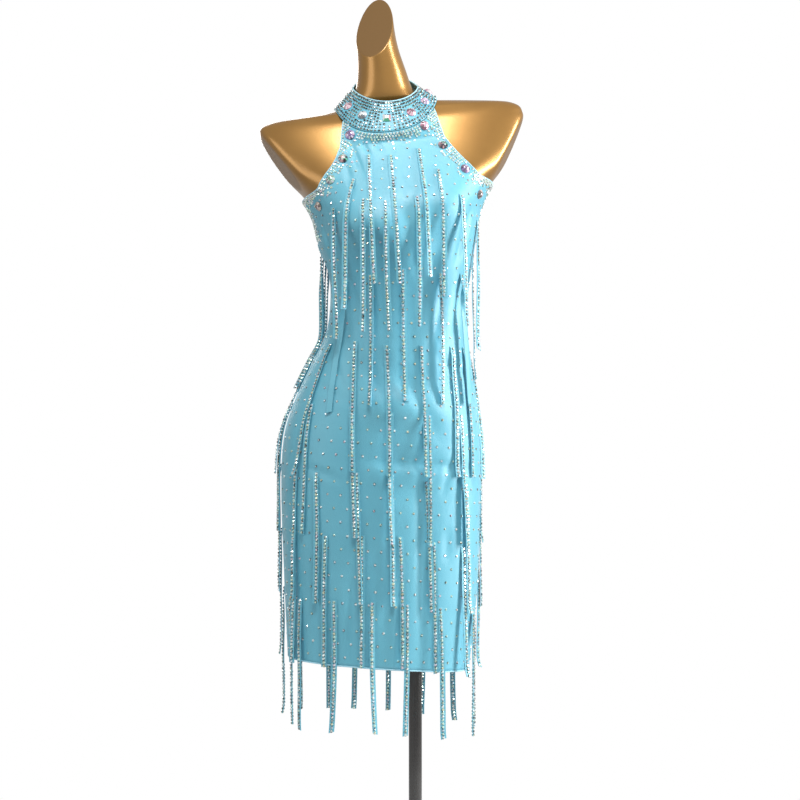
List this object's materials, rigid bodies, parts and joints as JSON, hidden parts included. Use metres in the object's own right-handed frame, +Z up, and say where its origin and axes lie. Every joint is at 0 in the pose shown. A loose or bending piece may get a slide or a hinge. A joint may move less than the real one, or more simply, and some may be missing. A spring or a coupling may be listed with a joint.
{
  "type": "halter tassel dress on a limbless dress form and pole stand",
  "caption": "Sleeveless halter latin dance dress in turquoise stretch satin with tiers of hanging tassel tapes and crystals, on a gold limbless dress form with a pole and a round base.",
  "frame": {"origin": "middle of the base's underside, under the pole's axis", "axes": "+Z up along the pole, -Y the way the dress faces, +X to the right of a viewer who faces the front"},
  "size_m": [0.4246, 0.31, 1.5079],
  "materials": {
    "satin": "soft satin stretch cloth",
    "crystal": "faceted, foil-backed",
    "gold_paint": "satin metallic gold paint",
    "dark_metal": "semi-gloss dark grey"
  },
  "bodies": {
    "root": {"front_panel": "satin", "back_panel": "satin", "collar": "satin", "fringe_front_1": "satin", "fringe_front_2": "satin", "fringe_front_3": "satin", "fringe_front_4": "satin", "fringe_front_5": "satin", "fringe_front_6": "satin", "fringe_front_7": "satin", "fringe_front_8": "satin", "fringe_back_3": "satin", "fringe_back_4": "satin", "fringe_back_5": "satin", "fringe_back_6": "satin", "fringe_back_7": "satin", "fringe_back_8": "satin", "stone_collar_1": "crystal", "stone_collar_2": "crystal", "stone_collar_3": "crystal", "stone_collar_4": "crystal", "stone_collar_5": "crystal", "stone_collar_centre": "crystal", "stone_left_1": "crystal", "stone_left_2": "crystal", "stone_left_3": "crystal", "stone_left_4": "crystal", "stone_right_1": "crystal", "stone_right_2": "crystal", "stone_right_3": "crystal", "stone_right_4": "crystal", "dress_form": "gold_paint", "pole": "dark_metal", "base": "dark_metal"}
  },
  "joints": []
}
